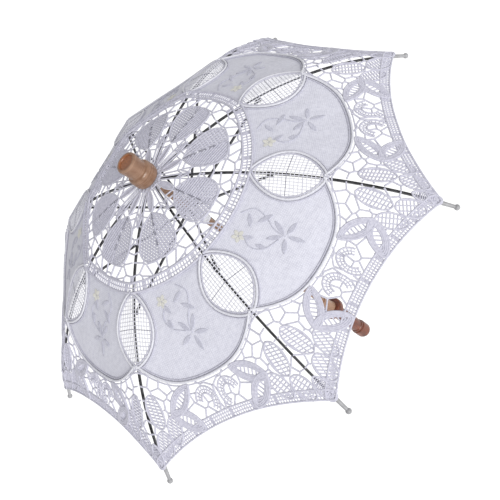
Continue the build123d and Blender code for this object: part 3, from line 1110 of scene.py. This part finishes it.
@dataclass
class Cover:
    """The lace cover, one piece of lace and one of cloth for each rib."""

    dome: Dome
    motifs: Motifs
    thread: bpy.types.Material
    cloth: bpy.types.Material
    silk: bpy.types.Material
    yellow: bpy.types.Material
    piping: bpy.types.Material
    cloth_thickness: float = 0.0003
    fold_share: float = 0.10
    across: int = 22
    along: int = 34

    def build(self) -> None:
        """Builds and rides every gore."""
        rib = RibLace(self.motifs)
        rib.build()
        panels = [PanelLace(self.motifs, k) for k in range(RIB_COUNT)]
        for panel in panels:
            panel.build()
        outlines = rib.pattern.outlines + [[turn(p, HALF_ANGLE) for p in o] for o in panels[0].pattern.outlines]
        network = OpenNetwork(self.motifs).build(outlines)
        for k in range(RIB_COUNT):
            azimuth = 2 * HALF_ANGLE * k
            left, right = panels[k], panels[k - 1]
            strands = rib.pattern.strands + network.strands
            strands += self.turned(left.pattern, HALF_ANGLE) + self.turned(right.pattern, -HALF_ANGLE)
            lace = self.tubes(f"lace_{k + 1}", strands, azimuth, self.thread)
            cloth = self.cloth_piece(f"cloth_{k + 1}", azimuth)
            silk = self.turned(left.silk, HALF_ANGLE) + self.turned(right.silk, -HALF_ANGLE)
            yellow = self.turned(left.yellow, HALF_ANGLE)
            white = rib.white.strands + self.turned(left.white, HALF_ANGLE) + self.turned(right.white, -HALF_ANGLE)
            stitched = [
                self.tubes(f"piping_{k + 1}", white, azimuth, self.piping),
                self.tubes(f"embroidery_{k + 1}", silk, azimuth, self.silk),
                self.tubes(f"yellow_flower_{k + 1}", yellow, azimuth, self.yellow),
            ]
            self.attach(lace, cloth, stitched, k + 1)

    @staticmethod
    def turned(pattern: Pattern, angle: float) -> list[Strand]:
        """The threads of a panel, turned into the plan of a rib beside it."""
        return [Strand([turn(p, angle) for p in s.line], s.radius, s.lift) for s in pattern.strands]

    @staticmethod
    def own_share(line: Line) -> list[Line]:
        """Cuts a line at the middles of the panels either side of the rib.

        Args:
            line: Points with the rib along +X.

        Returns:
            The stretches that belong to this rib.
        """
        c, s = math.cos(HALF_ANGLE), math.sin(HALF_ANGLE)
        over = [abs(y) * c - x * s for x, y in line]
        runs: list[Line] = []
        run: Line = []
        for i, point in enumerate(line):
            if i and (over[i - 1] > 0) != (over[i] > 0):
                t = over[i - 1] / (over[i - 1] - over[i])
                run.append(tuple(a + (b - a) * t for a, b in zip(line[i - 1], point)))
            if over[i] <= 0:
                run.append(point)
            elif run:
                runs.append(run)
                run = []
        if run:
            runs.append(run)
        return [r for r in runs if len(r) > 1]

    def tubes(
        self, name: str, strands: list[Strand], azimuth: float, material: bpy.types.Material
    ) -> bpy.types.Object:
        """Turns threads into one mesh of tubes.

        Args:
            name: Name of the piece.
            strands: Its threads in plan.
            azimuth: Where the rib stands.
            material: What they are made of.

        Returns:
            The piece.
        """
        unit = 0.001
        curve = bpy.data.curves.new(name, "CURVE")
        curve.dimensions = "3D"
        curve.bevel_depth = unit
        curve.bevel_resolution = 1
        curve.use_fill_caps = True
        for strand in strands:
            for line in self.own_share(strand.line):
                points = [self.dome.place(p, strand.lift + strand.radius, azimuth) for p in line]
                spline = curve.splines.new("POLY")
                spline.points.add(len(points) - 1)
                spline.points.foreach_set("co", [v for p in points for v in (*p, 1.0)])
                spline.points.foreach_set("radius", [strand.radius / unit] * len(points))
        maker = bpy.data.objects.new(name + "_maker", curve)
        bpy.context.collection.objects.link(maker)
        graph = bpy.context.evaluated_depsgraph_get()
        mesh = bpy.data.meshes.new_from_object(maker.evaluated_get(graph))
        bpy.data.objects.remove(maker)
        bpy.data.curves.remove(curve)
        mesh.name = name
        mesh.shade_smooth()
        mesh.materials.clear()
        mesh.materials.append(material)
        piece = bpy.data.objects.new(name, mesh)
        bpy.context.collection.objects.link(piece)
        return piece

    def cloth_point(self, u: float, v: float) -> Plan:
        """Finds a point of the cloth beside a rib.

        Args:
            u: 0 at the window's edge, 1 at the panel's middle.
            v: 0 at the ring, 1 at the scallops.

        Returns:
            The plan point with the rib along +X.
        """
        m = self.motifs
        foot = turn((m.ring_outer.radius(0.0), 0.0), HALF_ANGLE)
        head = turn((m.scallop.radius(0.0), 0.0), HALF_ANGLE)
        off = HALF_ANGLE * (1 - u)
        low = turn((m.ring_outer.radius(off), 0.0), HALF_ANGLE * u)
        high = turn((m.scallop.radius(off), 0.0), HALF_ANGLE * u)
        side = m.window(v)
        start, end = m.window(0.0), m.window(1.0)
        return tuple(
            (1 - u) * side[i] + u * (foot[i] + (head[i] - foot[i]) * v)
            + (1 - v) * low[i] + v * high[i]
            - (1 - u) * (1 - v) * start[i] - u * (1 - v) * foot[i] - (1 - u) * v * end[i] - u * v * head[i]
            for i in range(2)
        )

    def cloth_piece(self, name: str, azimuth: float) -> bpy.types.Object:
        """Makes the cloth either side of a rib from two stretched grids.

        Args:
            name: Name of the piece.
            azimuth: Where the rib stands.

        Returns:
            The piece, before its thickness.
        """
        shape = bmesh.new()
        uv_layer = shape.loops.layers.uv.new("weave")
        for way in (1, -1):
            made = bmesh.ops.create_grid(shape, x_segments=self.across, y_segments=self.along, size=0.5)
            plan = {}
            for vert in made["verts"]:
                x, y = self.cloth_point(vert.co.x + 0.5, vert.co.y + 0.5)
                plan[vert] = (x, way * y)
                vert.co = self.dome.place((x, way * y), 0.0, azimuth)
            faces = {face for vert in made["verts"] for face in vert.link_faces}
            if way < 0:
                bmesh.ops.reverse_faces(shape, faces=list(faces))
            for face in faces:
                face.smooth = True
                for loop in face.loops:
                    point = plan[loop.vert]
                    loop[uv_layer].uv = (self.dome.arc_length(point), turn(point, -way * HALF_ANGLE)[1])
        bmesh.ops.recalc_face_normals(shape, faces=shape.faces)
        for edge in shape.edges:
            edge.smooth = not edge.is_boundary
        mesh = bpy.data.meshes.new(name)
        shape.to_mesh(mesh)
        shape.free()
        if sum(p.normal.z for p in mesh.polygons) < 0:
            mesh.flip_normals()
        mesh.materials.append(self.cloth)
        piece = bpy.data.objects.new(name, mesh)
        bpy.context.collection.objects.link(piece)
        thick = piece.modifiers.new("thickness", "SOLIDIFY")
        thick.thickness = self.cloth_thickness
        thick.offset = -1.0
        return piece

    def attach(
        self,
        lace: bpy.types.Object,
        cloth: bpy.types.Object,
        stitched: list[bpy.types.Object],
        number: int,
    ) -> None:
        """Args:
            lace: The gore's lace.
            cloth: The gore's cloth.
            stitched: The piping and what is embroidered on the cloth.
            number: Number of the rib.
        """
        for piece in (lace, cloth, *stitched):
            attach(piece, f"rib_{number}")
            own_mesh(piece)
            LOG.info("%s: %d faces", piece.name, len(piece.data.polygons))
        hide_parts(f"canopy_gore_{number}")


@dataclass
class Hardware:
    """The carried-over wooden, steel, plastic and felt parts, and the finish of each."""

    frame: dict
    end_grain_depth: float = 0.0026

    def dress(self) -> None:
        """Gives every carried-over part its finish."""
        ferrule_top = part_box("ferrule")[1][2]
        end_level = ferrule_top - self.end_grain_depth
        beech = TurnedWood((0.31, 0.18, 0.115), (0.21, 0.11, 0.062), (0.33, 0.12, 0.045), end_level)
        brown = TurnedWood((0.19, 0.050, 0.022), (0.075, 0.018, 0.008), (0.2, 0.07, 0.04), roughness=0.42, coat=0.15)
        shaft = TurnedWood((0.32, 0.17, 0.09), (0.16, 0.075, 0.035), (0.4, 0.2, 0.1))
        steel, plastic = DrawnSteel(), MouldedPlastic()
        finishes = {
            "light_wood": beech.build("beech"),
            "brown_wood": brown.build("varnished_brown_wood"),
            "shaft_wood": shaft.build("shaft_wood"),
            "steel": steel.build("drawn_steel"),
            "white_plastic": plastic.build("moulded_plastic"),
            "white_fabric": CottonThread().build("rosette_felt"),
        }
        tip_plastic = MouldedPlastic((0.36, 0.36, 0.37), (0.28, 0.28, 0.29)).build("tip_plastic")
        slots = {s["node"]: s["material_slot"] for s in self.frame["record"]["subparts"]}
        for node, piece in self.frame["nodes"].items():
            finish = tip_plastic if node.startswith("rib_tip") else finishes[slots[node]]
            for holder in piece.material_slots:
                holder.material = finish
            LOG.info("%s: %s", node, slots[node])


@dataclass(frozen=True)
class Studio:
    """Pale floor, soft light and the camera."""

    aim_height: float = 0.2814
    distance: float = 0.939
    azimuth: float = math.radians(14.0)
    elevation: float = math.radians(43.55)
    roll: float = math.radians(-54.8)
    lens: float = 56.7
    floor_level: float = -0.9
    floor_reach: float = 12.0
    floor_glow: float = 0.35
    sky_strength: float = 0.57
    sun_energy: float = 2.3
    sun_spread: float = math.radians(40)

    def build(self) -> None:
        """Sets up everything round the object."""
        self.floor()
        self.lights()
        self.camera()

    def floor(self) -> None:
        """Lays the pale floor."""
        shape = bmesh.new()
        bmesh.ops.create_grid(shape, x_segments=1, y_segments=1, size=self.floor_reach)
        bmesh.ops.translate(shape, verts=shape.verts, vec=(0.0, 0.0, self.floor_level))
        mesh = bpy.data.meshes.new("floor")
        shape.to_mesh(mesh)
        shape.free()
        material, _, shader = new_material("floor_paint")
        shader.inputs["Base Color"].default_value = (0.93, 0.93, 0.93, 1.0)
        shader.inputs["Roughness"].default_value = 0.9
        shader.inputs["Emission Color"].default_value = (1.0, 1.0, 1.0, 1.0)
        shader.inputs["Emission Strength"].default_value = self.floor_glow
        mesh.materials.append(material)
        floor = bpy.data.objects.new("floor", mesh)
        bpy.context.collection.objects.link(floor)

    def lights(self) -> None:
        """Lights the room softly, with a stronger soft light from one side."""
        world = bpy.data.worlds.new("studio")
        bpy.context.scene.world = world
        world.use_nodes = True
        world.node_tree.nodes["Background"].inputs["Color"].default_value = (1.0, 1.0, 1.0, 1.0)
        world.node_tree.nodes["Background"].inputs["Strength"].default_value = self.sky_strength
        sun = bpy.data.lights.new("window", "SUN")
        sun.energy = self.sun_energy
        sun.angle = self.sun_spread
        holder = bpy.data.objects.new("window", sun)
        holder.rotation_euler = Vector((0.30, -1.05, 0.50)).to_track_quat("Z", "Y").to_euler()
        bpy.context.collection.objects.link(holder)
        bpy.context.scene.view_settings.view_transform = "Standard"

    def camera(self) -> None:
        """Places the camera, rolled so that the shaft leans across the frame."""
        aim = Vector((0.0, 0.0, self.aim_height))
        flat = math.cos(self.elevation)
        away = Vector((math.sin(self.azimuth) * flat, -math.cos(self.azimuth) * flat, math.sin(self.elevation)))
        data = bpy.data.cameras.new("camera")
        data.lens = self.lens
        data.sensor_width = 36.0
        camera = bpy.data.objects.new("camera", data)
        camera.location = aim + away * self.distance
        look = (-away).to_track_quat("-Z", "Y")
        camera.rotation_euler = (look @ Quaternion((0.0, 0.0, 1.0), self.roll)).to_euler()
        bpy.context.collection.objects.link(camera)
        bpy.context.scene.camera = camera


def main() -> None:
    """Builds the cover, dresses the frame and sets up the studio."""
    logging.basicConfig(level=logging.INFO, format="%(name)s: %(message)s")
    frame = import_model()
    pivot = next(j for j in frame["joints"] if j["name"] == "rib_1_fold")["pos_m"]
    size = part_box("rib_tip_1")[1][0] - TIP_BALL_RADIUS
    dome = Dome(pivot[0], RIB_ARC_RADIUS + CLOTH_ABOVE_RIB, pivot[2] - RIB_ARC_RADIUS)
    thread = CottonThread().build("cotton_thread")
    piping = CottonThread((0.74, 0.74, 0.79), (0.60, 0.60, 0.66)).build("white_piping")
    cloth = WovenCotton().build("woven_cotton")
    # The embroidery thread is the cloth's white. This silk is coloured darker than the cloth as painted shade on the
    # raised satin petals.
    silk = CottonThread((0.58, 0.58, 0.66), (0.47, 0.47, 0.55)).build("embroidery_silk_painted_shade")
    yellow = CottonThread((0.70, 0.69, 0.645), (0.64, 0.63, 0.59)).build("pale_yellow_silk")
    Cover(dome, Motifs(size), thread, cloth, silk, yellow, piping).build()
    Hardware(frame).dress()
    Studio().build()


if __name__ == "__main__":
    main()
